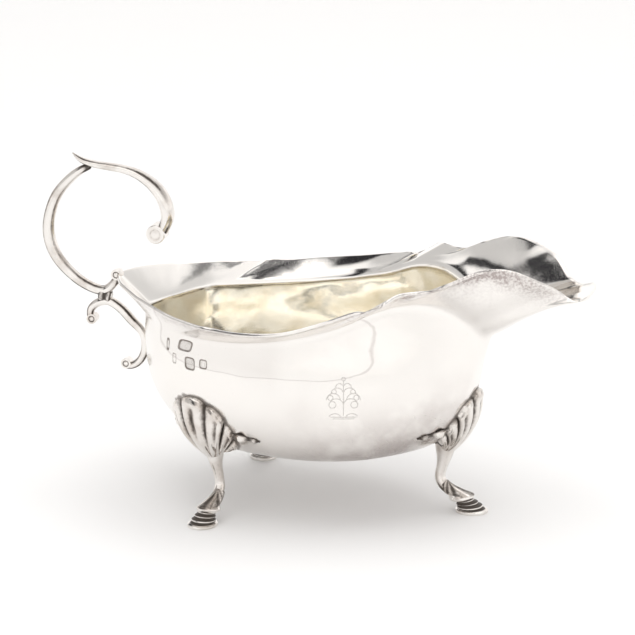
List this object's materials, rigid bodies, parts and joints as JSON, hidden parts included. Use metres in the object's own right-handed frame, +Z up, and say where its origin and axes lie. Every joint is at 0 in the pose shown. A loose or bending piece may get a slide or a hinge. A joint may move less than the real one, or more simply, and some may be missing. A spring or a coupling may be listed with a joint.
{
  "type": "sauce boat",
  "caption": "Boat-shaped silver bowl with a high pouring spout, a flying scroll handle and three shell-topped legs; holds and pours sauce at table.",
  "frame": {"origin": "on the table, halfway along the whole length and on the plane that divides left from right", "axes": "+X towards the spout, -X towards the handle, +Z up, +Y towards the left side seen from the handle"},
  "size_m": [0.1803, 0.0926, 0.1092],
  "materials": {
    "raised_silver": "polished silver sheet with soft wear and a faded gilt wash inside",
    "cast_silver": "polished cast silver with dark oxidation in the grooves"
  },
  "bodies": {
    "root": {"bowl": "raised_silver", "handle_rear_scroll": "cast_silver", "handle_top_scroll": "cast_silver", "handle_top_volute": "cast_silver", "handle_lower_scroll": "cast_silver", "handle_upper_bead": "cast_silver", "handle_lower_bead": "cast_silver", "handle_collar": "cast_silver", "handle_rim_knob": "cast_silver", "right_leg_shell": "cast_silver", "right_leg_shank": "cast_silver", "right_leg_foot": "cast_silver", "right_leg_rear_bud": "cast_silver", "right_leg_front_bud": "cast_silver", "left_leg_shell": "cast_silver", "left_leg_shank": "cast_silver", "left_leg_foot": "cast_silver", "left_leg_rear_bud": "cast_silver", "left_leg_front_bud": "cast_silver", "front_leg_shell": "cast_silver", "front_leg_shank": "cast_silver", "front_leg_foot": "cast_silver", "front_leg_right_bud": "cast_silver", "front_leg_left_bud": "cast_silver"}
  },
  "joints": []
}
